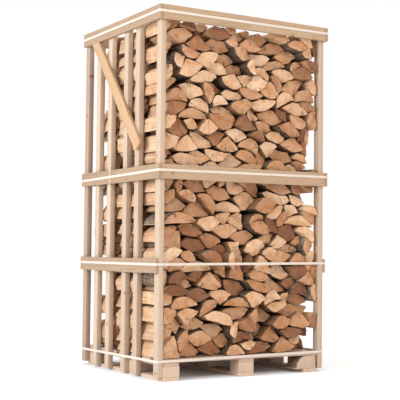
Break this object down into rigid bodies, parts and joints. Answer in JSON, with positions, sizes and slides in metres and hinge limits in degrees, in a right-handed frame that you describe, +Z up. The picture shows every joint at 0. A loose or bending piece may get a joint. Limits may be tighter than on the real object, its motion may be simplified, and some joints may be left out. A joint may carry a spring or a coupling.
{
  "type": "firewood bundle",
  "caption": "Tall open slatted timber crate on a block pallet, packed with split firewood and bound round with white plastic straps.",
  "frame": {"origin": "middle of the footprint, on the ground", "axes": "+Z up, +X to the right as the open front is faced, +Y from the open front to the back"},
  "size_m": [1.1556, 1.0056, 2.05],
  "materials": {
    "pale_wood": "sawn, pale, with fine grain and a few knots",
    "rail_wood": "sawn, tan, with fine grain",
    "brace_wood": "sawn, warmer tan",
    "pallet_wood": "rough sawn",
    "split_wood": "split faces and sawn ends, grey-brown bark",
    "strap_plastic": "off-white, slightly translucent, embossed"
  },
  "bodies": {
    "root": {"left_front_post": "pale_wood", "left_slat_1": "pale_wood", "left_slat_2": "pale_wood", "left_slat_3": "pale_wood", "left_slat_4": "pale_wood", "left_back_post": "pale_wood", "left_top_rail": "rail_wood", "left_middle_rail": "rail_wood", "left_lower_rail": "rail_wood", "left_brace": "brace_wood", "right_front_post": "pale_wood", "right_slat_1": "pale_wood", "right_slat_2": "pale_wood", "right_slat_3": "pale_wood", "right_slat_4": "pale_wood", "right_back_post": "pale_wood", "right_top_rail": "rail_wood", "right_middle_rail": "rail_wood", "right_lower_rail": "rail_wood", "right_brace": "brace_wood", "front_top_rail": "rail_wood", "front_middle_rail": "rail_wood", "back_top_rail": "rail_wood", "back_middle_rail": "rail_wood", "pallet_skid_left": "pallet_wood", "pallet_skid_middle": "pallet_wood", "pallet_skid_right": "pallet_wood", "pallet_block_front_left": "pallet_wood", "pallet_block_front_middle": "pallet_wood", "pallet_block_front_right": "pallet_wood", "pallet_block_middle_left": "pallet_wood", "pallet_block_middle_middle": "pallet_wood", "pallet_block_middle_right": "pallet_wood", "pallet_block_back_left": "pallet_wood", "pallet_block_back_middle": "pallet_wood", "pallet_block_back_right": "pallet_wood", "pallet_stringer_left": "pallet_wood", "pallet_stringer_middle": "pallet_wood", "pallet_stringer_right": "pallet_wood", "pallet_deck_board_1": "pallet_wood", "pallet_deck_board_2": "pallet_wood", "pallet_deck_board_3": "pallet_wood", "pallet_deck_board_4": "pallet_wood", "pallet_deck_board_5": "pallet_wood", "pallet_deck_board_6": "pallet_wood", "pallet_deck_board_7": "pallet_wood", "strap_top": "strap_plastic", "strap_middle": "strap_plastic", "strap_lower": "strap_plastic", "strap_bottom": "strap_plastic", "strap_tail": "strap_plastic", "firewood_front_left": "split_wood", "firewood_front_centre": "split_wood", "firewood_front_right": "split_wood", "firewood_middle_left": "split_wood", "firewood_middle_centre": "split_wood", "firewood_middle_right": "split_wood", "firewood_back_left": "split_wood", "firewood_back_centre": "split_wood", "firewood_back_right": "split_wood"}
  },
  "joints": []
}
